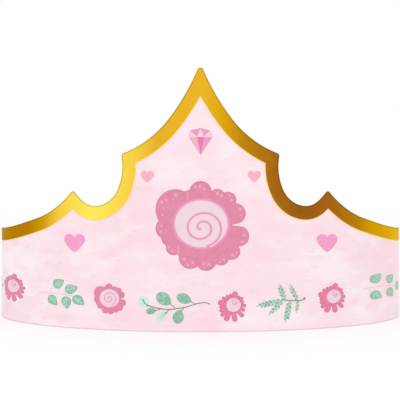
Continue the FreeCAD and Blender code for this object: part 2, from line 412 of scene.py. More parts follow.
def join_shapes(name, shapes):
    deselect()
    for shape in shapes:
        shape.select_set(True)
    bpy.context.view_layer.objects.active = shapes[0]
    if len(shapes) > 1:
        bpy.ops.object.join()
    piece = bpy.context.object
    piece.name = name
    piece.data.name = name
    return piece


def mark_sheet(piece):
    """The piece's place on the sheet, in tenths of a metre, kept as its UV map."""
    layer = piece.data.uv_layers.get("sheet") or piece.data.uv_layers.new(name="sheet")
    for loop in piece.data.loops:
        place = piece.data.vertices[loop.vertex_index].co
        layer.data[loop.index].uv = (place.x * 10, place.z * 10)


def ramp_ends():
    """The top and the foot of the lap's ramp, as places along the sheet."""
    top = -math.pi * sizes().ring_diameter / 2 + sizes().lap_length / 2
    return top, top + sizes().lap_ramp


def crease(piece):
    """Cuts the flat piece at even places along the sheet, so that it rolls in narrow facets."""
    step = sizes().crease_step
    places = [vertex.co.x for vertex in piece.data.vertices]
    first, last = min(places), max(places)
    columns = [column * step for column in range(math.floor(first / step) + 1, math.ceil(last / step))]
    columns += [place for place in ramp_ends() if first < place < last]
    choose(piece)
    bpy.ops.object.mode_set(mode="EDIT")
    for place in columns:
        bpy.ops.mesh.select_all(action="SELECT")
        bpy.ops.mesh.bisect(plane_co=(place, 0, 0), plane_no=(1, 0, 0))
    bpy.ops.object.mode_set(mode="OBJECT")


def thicken(piece, depth):
    """Gives the flat piece its depth, from its face back towards the inside of the ring."""
    choose(piece)
    wall = piece.modifiers.new("thickness", "SOLIDIFY")
    wall.thickness = depth
    wall.offset = -1
    bpy.ops.object.modifier_apply(modifier=wall.name)


def lift_lap(piece):
    """Raises the outer end of the sheet onto the inner end, up a short ramp."""
    top, foot = ramp_ends()
    for vertex in piece.data.vertices:
        share = min(1.0, max(0.0, (foot - vertex.co.x) / (foot - top)))
        vertex.co.y -= share * (sizes().card_thickness + LAP_GAP)


def roll(piece):
    """Rolls the flat piece round the ring and sets its front at the front of the crown."""
    radius = sizes().ring_diameter / 2
    places = [vertex.co.x for vertex in piece.data.vertices]
    choose(piece)
    bend = piece.modifiers.new("roll", "SIMPLE_DEFORM")
    bend.deform_method = "BEND"
    bend.deform_axis = "Z"
    bend.angle = (max(places) - min(places)) / radius
    bpy.ops.object.modifier_apply(modifier=bend.name)
    piece.location.y = -radius
    bpy.ops.object.transform_apply(location=True, rotation=True, scale=True)
    bpy.ops.object.shade_smooth_by_angle(angle=math.radians(30))


def print_piece(name, shapes):
    """One printed layer: its flat shapes joined, creased, given the depth of ink and rolled."""
    piece = join_shapes(name, shapes)
    rise = max(-vertex.co.y for vertex in piece.data.vertices)
    mark_sheet(piece)
    crease(piece)
    thicken(piece, rise + INK_SINK)
    lift_lap(piece)
    roll(piece)
    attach(piece, "root")
    return piece


def layer(count):
    """The rise of a printed layer, counted from the card."""
    return sizes().ink_rise * count


def printed(outline, paint, count, s, z, turn=0.0, stretch=1.0):
    """A flat shape of one ink at a place on the sheet, in the printed layer of that count."""
    return cut_shape(placed(outline, s, z, 1.0, turn, stretch), paint, layer(count))


# Materials

class Nodes:
    """The nodes of a material or of the world, added one after another."""

    def __init__(self, tree):
        self.tree = tree

    def node(self, kind, values=None, **settings):
        made = self.tree.nodes.new(kind)
        for key, value in settings.items():
            setattr(made, key, value)
        for key, value in (values or {}).items():
            self.feed(made.inputs[key], value)
        return made

    def link(self, start, end):
        self.tree.links.new(start, end)

    def feed(self, socket, value):
        """Gives a socket a plain value, or what another socket puts out."""
        if isinstance(value, (int, float, tuple)):
            socket.default_value = value
        else:
            self.link(value, socket)

    def math(self, operation, *values):
        made = self.node("ShaderNodeMath", dict(enumerate(values)), operation=operation)
        return made.outputs["Value"]

    def direct_rays(self):
        """1 where the stage is seen directly, in a reflection or through glass."""
        rays = self.node("ShaderNodeLightPath")
        seen = self.math("MAXIMUM", rays.outputs["Is Camera Ray"], rays.outputs["Is Glossy Ray"])
        return self.math("MAXIMUM", seen, rays.outputs["Is Transmission Ray"])


class Paint(Nodes):
    """A material, whose nodes lead to one main shader."""

    def __init__(self, name):
        self.material = bpy.data.materials.new(name)
        self.material.use_nodes = True
        super().__init__(self.material.node_tree)
        self.tree.nodes.clear()
        self.output = self.node("ShaderNodeOutputMaterial")
        self.shader = self.node("ShaderNodeBsdfPrincipled")
        self.link(self.shader.outputs["BSDF"], self.output.inputs["Surface"])

    def set(self, name, value):
        self.feed(self.shader.inputs[name], value)

    def sheet(self, along=1.0, up=1.0, turn=0.0, shift=(0.0, 0.0)):
        """The place on the unrolled sheet, scaled along the band and upwards."""
        place = self.node("ShaderNodeUVMap", uv_map="sheet")
        mapping = self.node("ShaderNodeMapping", {
            "Vector": place.outputs["UV"],
            "Location": (*shift, 0.0),
            "Rotation": (0.0, 0.0, math.radians(turn)),
            "Scale": (along, up, 1.0),
        })
        return mapping.outputs["Vector"]

    def noise(self, vector, scale, detail=2.0, roughness=0.5, distortion=0.0):
        values = {"Scale": scale, "Detail": detail, "Roughness": roughness, "Distortion": distortion}
        return self.node("ShaderNodeTexNoise", {"Vector": vector, **values}).outputs["Fac"]

    def ramp(self, factor, stops):
        """A colour ramp from (place, colour) stops."""
        made = self.node("ShaderNodeValToRGB", {"Fac": factor})
        elements = made.color_ramp.elements
        while len(elements) > 1:
            elements.remove(elements[-1])
        elements[0].position, elements[0].color = stops[0]
        for place, shade in stops[1:]:
            elements.new(place).color = shade
        return made.outputs["Color"]

    def fade(self, factor, low, high, strength=1.0):
        """A factor spread softly from 0 at low to strength at high."""
        values = {"Value": factor, "From Min": low, "From Max": high, "To Max": strength}
        return self.node("ShaderNodeMapRange", values, interpolation_type="SMOOTHSTEP").outputs["Result"]

    def mix(self, factor, first, second):
        return self.node("ShaderNodeMix", {0: factor, 6: first, 7: second}, data_type="RGBA").outputs[2]

    def bloom(self, below, shade, s, z, reach_s, reach_z, strength, broken):
        """A soft patch of another shade over the colour below, round a place in millimetres."""
        place = self.sheet(100 / reach_s, 100 / reach_z, 0.0, (-s / reach_s, -z / reach_z))
        away = self.node("ShaderNodeVectorMath", {0: place}, operation="LENGTH")
        soft = self.fade(away.outputs["Value"], 1.0, 0.1)
        return self.mix(self.math("MULTIPLY", self.math("MULTIPLY", soft, broken), strength), below, shade)

    def bump(self, height, strength, distance):
        made = self.node("ShaderNodeBump", {"Strength": strength, "Distance": distance, "Height": height})
        self.set("Normal", made.outputs["Normal"])

    def gloss(self, grain, spread, least):
        """Roughness from least upwards, as an uneven grain gives it."""
        self.set("Roughness", self.math("ADD", self.math("MULTIPLY", grain, spread), least))


# Soft patches of the wash: shade, place on the sheet, reach each way in millimetres, strength.
WASH_PATCHES = [
    ("wash_pale", -98, 24, 42, 30, 1.3),
    ("wash_pale", -66, 6, 34, 16, 0.9),
    ("wash_blush", -30, 46, 26, 26, 1.1),
    ("wash_blush", 26, 36, 22, 18, 0.9),
    ("wash_pale", 20, 60, 20, 12, 0.8),
    ("wash_pale", -14, 66, 16, 10, 0.7),
    ("wash_blush", 0, 4, 22, 10, 1.0),
    ("wash_pale", 30, 7, 26, 9, 0.9),
    ("wash_blush", 96, 24, 30, 22, 1.0),
    ("wash_pale", 78, 5, 24, 12, 0.8),
    ("wash_lilac", -12, 80, 13, 12, 1.1),
    ("wash_lilac", 16, 76, 12, 10, 1.0),
    ("wash_blush", 0, 92, 8, 9, 0.9),
]


def washed_card():
    """Printed card: a pale water wash in soft patches and strokes, small flecks, a fine grain and a greyed
    line of painted shade along the lower edge.
    """
    paint = Paint("washed_card")
    clouds = paint.noise(paint.sheet(1.0, 2.0, -4.0, (7.7, 1.3)), 7.0, 6.0, 0.6, 0.2)
    patches = paint.noise(paint.sheet(1.0, 2.4, 6.0), 2.2, 4.0, 0.55, 0.3)
    strokes = paint.noise(paint.sheet(1.0, 2.4, 8.0, (2.2, 4.1)), 6.0, 4.0, 0.55, 0.3)
    flecks = paint.noise(paint.sheet(1.0, 2.4, 0.0, (0.4, 9.0)), 27.0, 1.5, 0.4)
    base, blush = colour("wash_base"), colour("wash_blush")
    palest = between(base, colour("wash_pale"), 0.6)
    wash = paint.ramp(patches, [(0.36, palest), (0.48, base), (0.58, base), (0.72, blush)])
    broken = paint.fade(clouds, 0.25, 0.65, 0.95)
    for shade, s, z, reach_s, reach_z, strength in WASH_PATCHES:
        wash = paint.bloom(wash, colour(shade), s, z, reach_s, reach_z, strength * 0.8, broken)
    for texture, low, high, strength, shade in (
        (strokes, 0.52, 0.70, 0.45, "wash_pale"), (strokes, 0.48, 0.32, 0.60, "wash_blush"),
        (clouds, 0.56, 0.72, 0.30, "wash_pale"), (flecks, 0.65, 0.76, 0.50, "wash_speck"),
    ):
        wash = paint.mix(paint.fade(texture, low, high, strength), wash, colour(shade))
    height = paint.node("ShaderNodeSeparateXYZ", {"Vector": paint.sheet()})
    # The greyed band along the lower edge is painted shade, as where the card stands on the floor.
    edge = paint.fade(height.outputs["Y"], 0.0055, 0.0020)
    paint.set("Base Color", paint.mix(edge, wash, colour("lower_edge_shade")))
    grain = paint.noise(paint.sheet(), 260.0, 3.0, 0.6)
    paint.bump(grain, 0.12, 0.00005)
    paint.gloss(grain, 0.12, 0.56)
    return paint.material


def plain_paper():
    """Unprinted card: off white with faint fibres."""
    paint = Paint("plain_paper")
    fibres = paint.noise(paint.sheet(0.7, 1.8, 20.0), 90.0, 4.0, 0.65, 1.2)
    white = colour("paper_white")
    paint.set("Base Color", paint.ramp(fibres, [(0.3, darker(white, 0.955)), (0.62, white)]))
    paint.set("Roughness", 0.85)
    paint.bump(paint.noise(paint.sheet(), 200.0, 4.0, 0.65), 0.2, 0.00006)
    return paint.material


# The run of gold round the ring, bright and dark bands that are painted reflections of the foil: degrees from
# the middle of the front, and the shade there.
GOLD_SHEEN_RUN = [
    (-179, "gold_warm"), (-150, "gold_bright"), (-122, "gold_warm"), (-98, "gold_brown"), (-76, "gold_deep"),
    (-53, "gold_deep"), (-46, "gold_amber"), (-40, "gold_bright"), (-29, "gold_pale"), (-17, "gold_bright"),
    (-11, "gold_warm"), (1, "gold_warm"), (6, "gold_amber"), (11, "gold_deep"), (18, "gold_brown"),
    (24, "gold_bronze"), (38, "gold_brown"), (46, "gold_deep"), (51, "gold_amber"), (58, "gold_warm"),
    (72, "gold_bright"), (104, "gold_deep"), (128, "gold_brown"), (152, "gold_bright"), (179, "gold_warm"),
]


def painted_gold_sheen(paint, depth):
    """The painted reflection of the foil at each place round the ring, darkened by depth."""
    place = paint.node("ShaderNodeTexCoord")
    parts = paint.node("ShaderNodeSeparateXYZ", {"Vector": place.outputs["Object"]})
    behind = paint.math("MULTIPLY", parts.outputs["Y"], -1.0)
    angle = paint.math("ARCTAN2", parts.outputs["X"], behind)
    turn = paint.math("ADD", paint.math("DIVIDE", angle, 2 * math.pi), 0.5)
    stops = [(0.5 + degrees / 360, darker(colour(shade), depth)) for degrees, shade in GOLD_SHEEN_RUN]
    return paint.ramp(turn, stops)


def gold_foil(name, depth=1.0):
    """Foil whose gold runs from pale to bronze and back round the ring, as painted reflections in its colour.
    """
    paint = Paint(name)
    cloudy = paint.fade(paint.noise(paint.sheet(), 9.0, 3.0, 0.5), 0.45, 0.70, 0.10)
    paint.set("Base Color", paint.mix(cloudy, painted_gold_sheen(paint, depth), colour("gold_warm")))
    paint.set("Metallic", 1.0)
    paint.set("Specular Tint", srgb(238, 204, 120))
    grain = paint.noise(paint.sheet(), 180.0, 2.0, 0.5)
    paint.gloss(grain, 0.14, 0.28)
    paint.bump(grain, 0.08, 0.00003)
    return paint.material


def gold_edge_highlight():
    """The fine light line drawn inside the border, a painted highlight along its inner edge."""
    paint = Paint("gold_edge_highlight")
    uneven = paint.noise(paint.sheet(), 14.0, 2.0, 0.5)
    main = colour("gold_edge_highlight")
    stops = [(0.35, between(main, colour("gold_bright"), 0.5)), (0.65, main)]
    paint.set("Base Color", paint.ramp(uneven, stops))
    paint.set("Metallic", 0.4)
    paint.set("Roughness", 0.4)
    return paint.material


# The inks: the colour that the dabs of each lean to, how far they lean, and how fine they are.
INK_DABS = {
    "petal": ("petal_edge", 0.45, 30.0),
    "petal_edge": ("petal", 0.4, 30.0),
    "petal_bright": ("petal_edge", 0.5, 60.0),
    "petal_deep": ("petal_edge", 0.4, 30.0),
    "petal_dot": ("petal", 0.3, 30.0),
    "flower_ring": ("petal", 0.35, 30.0),
    "flower_glow": ("flower_disc", 0.5, 30.0),
    "flower_disc": ("wash_speck", 0.3, 30.0),
    "small_disc": ("flower_disc", 0.7, 45.0),
    "small_swirl": ("petal", 0.25, 30.0),
    "heart_soft": ("petal", 0.12, 30.0),
    "leaf": ("leaf_edge", 0.8, 55.0),
    "leaf_edge": ("leaf", 0.4, 60.0),
    "leaf_mint": ("leaf", 0.35, 50.0),
    "leaf_vein": ("leaf", 0.25, 30.0),
    "stem": ("leaf_edge", 0.5, 30.0),
    "stem_faint": ("wash_base", 0.5, 30.0),
}
INKS = {}


def ink(name, light, dark, scale=30.0, low=0.36, high=0.60):
    """Printed colour laid on in uneven dabs between two shades. Each is made once."""
    if name not in INKS:
        paint = Paint(name)
        dabs = paint.noise(paint.sheet(), scale, 3.0, 0.6, 0.3)
        paint.set("Base Color", paint.ramp(dabs, [(low, dark), (high, light)]))
        paint.bump(paint.noise(paint.sheet(), 260.0, 3.0, 0.6), 0.10, 0.00005)
        paint.set("Roughness", 0.6)
        INKS[name] = paint.material
    return INKS[name]


def shaded_ink(name):
    """The ink of a named colour, with its dabs part of the way to another."""
    other, share, scale = INK_DABS[name]
    return ink(name + "_ink", colour(name), between(colour(name), colour(other), share), scale)


# Drawn forms

# Scallops of the open rose: the turn in degrees, the reach from the middle and the radius of each.
ROSE_SCALLOPS = [
    (92, 12.8, 4.5), (151, 12.1, 8.1), (187, 14.6, 4.2), (220, 14.8, 3.1), (251, 14.2, 4.6), (277, 14.6, 4.3),
    (300, 15.6, 3.2), (318, 16.5, 3.4), (342, 16.0, 4.1), (17, 14.3, 4.2), (42, 14.3, 3.4), (60, 12.6, 3.2),
]
ROSE_FILLERS = [(118, 9.9, 4.9), (203, 13.6, 3.9), (236, 11.2, 4.2)]
ROSE_CORE = 12.4

# Petals of the daisy: the turn in degrees, the reach of the tip and the width.
DAISY_PETALS = [
    (76, 5.9, 2.8), (53, 4.9, 1.5), (38, 5.4, 1.6), (21, 5.0, 1.5), (2, 5.5, 1.7), (-19, 5.3, 1.7),
    (-43, 6.1, 2.1), (-78, 6.2, 2.7), (-114, 6.3, 2.7), (-139, 5.8, 1.9), (-158, 5.2, 1.7), (-175, 5.0, 1.6),
    (162, 5.7, 2.8), (136, 5.2, 1.6), (117, 4.9, 1.4), (99, 4.9, 1.4),
]


def rose_outline(rim=0.0, count=300):
    """The outer line of the open rose: round scallops about a round core, drawn in by rim."""
    points = []
    for index in range(count):
        angle = 2 * math.pi * index / count
        reach = ROSE_CORE
        for turn, away, radius in ROSE_SCALLOPS + ROSE_FILLERS:
            aside = away * math.sin(angle - math.radians(turn))
            ahead = away * math.cos(angle - math.radians(turn))
            if abs(aside) < radius and ahead > 0:
                reach = max(reach, ahead + math.sqrt(radius ** 2 - aside ** 2))
        points.append(ray(angle) * (reach - rim))
    return points


def flipped(points):
    """The same line below the middle, from its other end."""
    return [Vector((point.x, -point.y)) for point in points][::-1]


def petal_outline(reach, width, rim=0.0, count=9):
    """A finger shaped petal from near the flower's middle to a round tip."""
    half = width / 2 - rim
    tip = Vector((reach - width / 2, 0.0))
    side = [Vector((1.6, half * 0.55)), Vector((reach * 0.55, half * 0.88))]
    end = [tip + unit(90 - 180 * index / count) * half for index in range(count + 1)]
    return side + end + flipped(side)


def spiral(start, end, turns, first_turn, width, growth=1.0, sway=0.0, count=96):
    """A brush line that winds clockwise out from start radius to end radius, with an uneven sway."""
    line = []
    for index in range(count + 1):
        share = index / count
        angle = math.radians(first_turn) - 2 * math.pi * turns * share
        reach = start + (end - start) * share ** growth
        reach *= 1 + sway * math.sin(2 * angle + 1.3) + sway * math.sin(angle + 2.2)
        line.append(ray(angle) * reach)
    return stroke(line, width)


def heart_outline(width, height, count=14):
    """Two round lobes whose sides swell a little towards the tip, about the middle of its box."""
    radius = width * 0.26
    middle = Vector((width / 2 - radius, height - radius))
    side = math.atan2(middle.y, middle.x) - math.asin(radius / middle.length)
    first, last = side - math.pi / 2, math.acos(-middle.x / radius)
    right = [Vector((0.0, 0.0))]
    reach = middle + ray(first) * radius
    for share in (0.2, 0.4, 0.6, 0.8):
        right.append(reach * share + ray(first) * (width * 0.16 * share * (1 - share)))
    for index in range(count + 1):
        right.append(middle + ray(first + (last - first) * index / count) * radius)
    return [point - Vector((0.0, height / 2)) for point in right + mirrored(right[1:-1])]


def leaf_outline(length, width, pointed, count=22):
    """A leaf from its stalk at the left to its tip at the right, with a point or a round end."""
    lean, swell = (0.72, 0.85) if pointed else (1.06, 0.53)
    upper = []
    for index in range(count + 1):
        share = index / count
        half = width / 2 * max(0.0, math.sin(math.pi * share ** lean)) ** swell
        upper.append(Vector((length * (share - 0.5), half)))
    return upper + flipped(upper[1:-1])


def frond_outlines(length, width, pairs):
    """A fern frond from its stalk to its tip: leaflets that lean forwards from both sides of a rib."""
    leaflets = [stroke([(0, 0), (length * 0.5, 0), (length, 0)], 0.62, 0.22)]
    for index in range(pairs):
        for side in (1, -1):
            share = (index + (0.25 if side > 0 else 0.70)) / (pairs + 0.6)
            size = width * (0.50 + 0.34 * math.sin(math.pi * (0.1 + 0.85 * share)))
            lean = side * (50 - 20 * share)
            middle = Vector((length * share * 0.9, 0.0)) + unit(lean) * (size * 0.44)
            leaflets.append(placed(leaf_outline(size, 1.0, True, 6), middle.x, middle.y, 1.0, lean))
    return leaflets


# The drawing out of the garland: its largest angle and share, and where along the band it fades.
STRETCH_ANGLE, STRETCH_MOST, FADE_START, FADE_RUN = 1.15, 2.6, 106, 22


def stretch_at(s):
    """How far a garland form is drawn out along the band, so that it reads round from the front."""
    angle = min(abs(s) * MM / (sizes().ring_diameter / 2), STRETCH_ANGLE)
    front = min(STRETCH_MOST, (EYE_AWAY - math.cos(angle)) / (EYE_AWAY * math.cos(angle) - 1))
    fade = min(1.0, max(0.0, (abs(s) - FADE_START) / FADE_RUN))
    return front + (1.0 - front) * fade


# Operators

class CROWN_OT_roll_card(bpy.types.Operator):
    """Cut the sheet to the crown's outline and roll it into a ring with its ends lapped at the back"""

    bl_idname = "crown.roll_card"
    bl_label = "Roll the Card"

    def execute(self, context):
        end = sheet_end()
        outline = [Vector((-end, 0.0)), Vector((end, 0.0))] + crest_line()[::-1]
        card = join_shapes("rolled_card", [cut_shape(outline, washed_card())])
        card.data.materials.append(plain_paper())
        mark_sheet(card)
        crease(card)
        thicken(card, sizes().card_thickness)
        for face in card.data.polygons:
            face.material_index = 0 if face.normal.y < -0.5 else 1
        lift_lap(card)
        roll(card)
        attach(card, "root")
        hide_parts("crown_card")
        return {"FINISHED"}


# The border's rim line, a painted shade along its outer edge: width and darkening. Its inner line, a painted
# highlight along its inner edge: how far it lies over and past the foil.
RIM_WIDTH, RIM_PAINTED_SHADE, LINE_OVER, LINE_PAST = 0.42, 0.62, 0.22, 0.06


class CROWN_OT_gild_border(bpy.types.Operator):
    """Lay the gold border along the cut crest, with its darker rim of painted shade and its light inner line
    of painted highlight
    """

    bl_idname = "crown.gild_border"
    bl_label = "Gild the Border"

    def band(self, name, outer, inner, rise, material):
        low, high = -sheet_end(), sheet_end() - sizes().lap_length / MM
        top = clipped(crest_line(outer), low, high)
        bottom = clipped(crest_line(inner), low, high)
        return print_piece(name, [cut_shape(top + bottom[::-1], material, rise)])

    def execute(self, context):
        rise = sizes().foil_rise
        width = sizes().border_width / MM
        foil = self.band("gold_border", 0.0, width, rise, gold_foil("gold_foil"))
        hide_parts("gold_foil_border")
        rise += layer(1)
        # A darker copy of the foil along the outer edge of the border: painted shade.
        self.band("border_rim_shade", 0.0, RIM_WIDTH, rise, gold_foil("gold_rim_shade", RIM_PAINTED_SHADE))
        self.band("border_edge_highlight", width - LINE_OVER, width + LINE_PAST, rise, gold_edge_highlight())
        return {"FINISHED"}


class CROWN_OT_print_rose(bpy.types.Operator):
    """Print the open rose in the middle of the front"""

    bl_idname = "crown.print_rose"
    bl_label = "Print the Rose"

    def execute(self, context):
        s, z = 0.5, 43.5
        print_piece("rose_petal_rim", [printed(rose_outline(), shaded_ink("petal_edge"), 1, s, z)])
        print_piece("rose_petals", [printed(rose_outline(0.32), shaded_ink("petal"), 2, s, z)])
        print_piece("rose_dots", self.dots(s, z, shaded_ink("petal_dot")))
        for name, width, height, paint, count in (
            ("rose_ring", 23.1, 20.7, "flower_ring", 4),
            ("rose_glow", 21.3, 18.9, "flower_glow", 5),
            ("rose_disc", 20.0, 17.6, "flower_disc", 6),
        ):
            disc = oval(width, height, 96)
            print_piece(name, [printed(disc, shaded_ink(paint), count, s - 0.15, z + 0.05)])
        for name, turns, width, paint, count in (
            ("rose_spiral_glow", 1.88, 1.6, "flower_glow", 7), ("rose_spiral", 1.90, 0.8, "flower_ring", 8),
        ):
            wound = spiral(0.4, 7.9, turns, 250, width, 0.85, 0.05)
            print_piece(name, [printed(wound, shaded_ink(paint), count, s - 0.1, z - 1.5)])
        return {"FINISHED"}

    def dots(self, s, z, paint):
        """Light dots inside each scallop's rim, and the two seams between petals."""
        shapes = []
        for index, (turn, away, radius) in enumerate(ROSE_SCALLOPS):
            spread = (-40, 26)
            if radius > 4.3:
                spread = (-62, -44, -16, 2, 24, 52) if radius > 7 else (-52, 4, 44)
            for count, aside in enumerate(spread):
                share = 0.42 + 0.24 * ((index * 3 + count * 2) % 5) / 4 + (0.10 if radius > 7 else 0.0)
                spot = unit(turn) * away + unit(turn + aside) * (radius * share)
                size = 0.95 + 0.45 * ((index * 2 + count) % 3) / 2
                shapes.append(printed(oval(size, size * 1.05, 14), paint, 3, s + spot.x, z + spot.y))
        for seam in ([(-5.5, 9.4), (-5.7, 13.2)], [(-9.2, -8.4), (-9.5, -12.9)]):
            shapes.append(printed(stroke(smooth_line(seam, 4), 0.5), paint, 3, s, z))
        return shapes


class CROWN_OT_print_gem(bpy.types.Operator):
    """Print the cut gem below the peak"""

    bl_idname = "crown.print_gem"
    bl_label = "Print the Gem"

    def execute(self, context):
        inks = {
            name: ink("gem_" + name + "_ink", srgb(*light), srgb(*dark))
            for name, light, dark in (
                ("edge", (222, 170, 196), (206, 158, 184)), ("light", (252, 208, 228), (248, 218, 230)),
                ("side", (249, 206, 220), (243, 216, 222)), ("pink", (243, 156, 196), (238, 150, 190)),
                ("soft", (251, 176, 200), (247, 166, 196)), ("dark", (228, 124, 172), (220, 118, 168)),
            )
        }
        apex, left, right, tip = (0.0, 10.5), (-4.0, 9.5), (3.6, 9.5), (0.05, 0.0)
        girdle_left, girdle_right = (-4.4, 6.9), (4.5, 6.9)
        inner_left, inner_right = (-1.25, 7.1), (1.45, 7.1)
        facets = [
            ("side", (left, girdle_left, inner_left)),
            ("light", (apex, inner_left, inner_right)),
            ("side", (right, inner_right, girdle_right)),
            ("pink", (left, inner_left, apex)),
            ("pink", (apex, inner_right, right)),
            ("soft", (girdle_left, tip, inner_left)),
            ("dark", (inner_left, tip, inner_right)),
            ("pink", (inner_right, tip, girdle_right)),
        ]
        s, z = 0.0, 71.4
        around = (left, girdle_left, tip, girdle_right, right, apex)
        rim = [(x * 1.05, 5.2 + (y - 5.2) * 1.04) for x, y in around]
        print_piece("gem_rim", [printed(rim, inks["edge"], 1, s, z)])
        print_piece("gem_facets", [printed(corners, inks[name], 2, s, z) for name, corners in facets])
        return {"FINISHED"}


SMALL_HEARTS = [(-21.6, 62.6), (22.0, 62.6)]
LARGE_HEARTS = [(-55.4, 35.3), (55.9, 35.3)]
LARGE_HEART_STRETCH = 1.3


class CROWN_OT_print_hearts(bpy.types.Operator):
    """Print two small and two larger hearts on the front"""

    bl_idname = "crown.print_hearts"
    bl_label = "Print the Hearts"

    def execute(self, context):
        soft = shaded_ink("heart_soft")
        bright = ink("heart_bright_ink", colour("heart_bright"), colour("flower_glow"), 75.0, 0.30, 0.40)
        small, large = heart_outline(5.7, 4.7), heart_outline(8.7, 7.6)
        print_piece("small_hearts", [printed(small, soft, 1, s, z) for s, z in SMALL_HEARTS])
        shapes = [printed(large, bright, 1, s, z, 0.0, LARGE_HEART_STRETCH) for s, z in LARGE_HEARTS]
        print_piece("large_hearts", shapes)
        return {"FINISHED"}


# The garland: each form, its place along the band and its height above the lower edge.
GARLAND_FLOWERS = [
    ("daisy", -103.0, 14.9), ("rose", -38.2, 13.1), ("daisy", 12.8, 10.4), ("daisy", 58.7, 12.6),
    ("rose", 141.0, 14.6), ("daisy", 190.0, 14.6), ("rose", 238.0, 14.6),
    ("daisy", -160.0, 14.6), ("rose", -204.0, 14.6), ("daisy", -253.0, 14.6),
]
GARLAND_SPRAYS = [
    ("sprig", -62.2, 14.1), ("branch", -11.2, 10.6), ("fern", 34.8, 12.2), ("posy", 99.6, 15.2),
    ("branch", 165.0, 13.6), ("fern", 213.0, 14.6), ("sprig", 261.0, 14.6),
    ("branch", -135.5, 13.6), ("sprig", -182.0, 14.6), ("fern", -227.0, 14.6), ("branch", -277.0, 13.6),
]


# The size of the small roses against the open one, and the width kept by a daisy's petals.
SMALL_ROSE, DAISY_SLIMMING = 0.345, 0.86


class Garland:
    """Lays forms along the band and gathers their shapes into the pieces that they are printed as."""

    def print_forms(self, forms, names):
        self.shapes = {name: [] for name in names}
        for form, s, z in forms:
            self.place = (s, z, stretch_at(s))
            getattr(self, form)()
        for name, shapes in self.shapes.items():
            print_piece("garland_" + name, shapes)
        return {"FINISHED"}

    def lay(self, name, outline, paint, count, x=0.0, y=0.0, turn=0.0, size=1.0):
        """One shape of a form: its piece, its ink, its layer and its place within the form."""
        s, z, stretch = self.place
        outline = placed(outline, x, y, size, turn)
        self.shapes[name].append(printed(outline, shaded_ink(paint), count, s, z, 0.0, stretch))


class CROWN_OT_print_flowers(Garland, bpy.types.Operator):
    """Print the small flowers of the garland round the band"""

    bl_idname = "crown.print_flowers"
    bl_label = "Print the Flowers"

    def execute(self, context):
        return self.print_forms(GARLAND_FLOWERS, ("petal_rims", "petals", "discs", "hearts", "swirls"))

    def rose(self):
        self.lay("petal_rims", rose_outline(0.0, 200), "petal_edge", 1, size=SMALL_ROSE)
        self.lay("petals", rose_outline(0.5, 200), "petal", 2, size=SMALL_ROSE)
        self.lay("discs", oval(7.9, 7.4), "flower_glow", 4)
        self.lay("hearts", oval(6.7, 6.2), "small_disc", 5)
        self.lay("swirls", spiral(0.9, 3.0, 1.25, 20, 0.34), "small_swirl", 6)
        self.lay("swirls", spiral(0.1, 0.9, 0.8, 300, 0.34), "flower_ring", 6)

    def daisy(self):
        self.lay("petal_rims", oval(6.8, 6.8), "petal_deep", 1)
        for turn, reach, width in DAISY_PETALS:
            width *= DAISY_SLIMMING
            self.lay("petal_rims", petal_outline(reach + 0.2, width), "petal_deep", 1, turn=turn)
            self.lay("petals", petal_outline(reach + 0.1, width, 0.18), "petal_bright", 2, turn=turn)
        self.lay("discs", oval(5.9, 5.6), "small_disc", 4, 0.6, 0.5, 20)
        self.lay("discs", oval(4.5, 3.9), "flower_disc", 5, 0.3, 0.1, 20)
        self.lay("hearts", oval(3.4, 3.3), "flower_glow", 6, 1.3, 1.4)
        self.lay("swirls", spiral(0.5, 1.75, 1.2, 60, 0.24), "small_swirl", 7, 1.3, 1.4)
        self.lay("swirls", spiral(0.1, 0.7, 1.0, 200, 0.26), "flower_ring", 7, 1.3, 1.4)


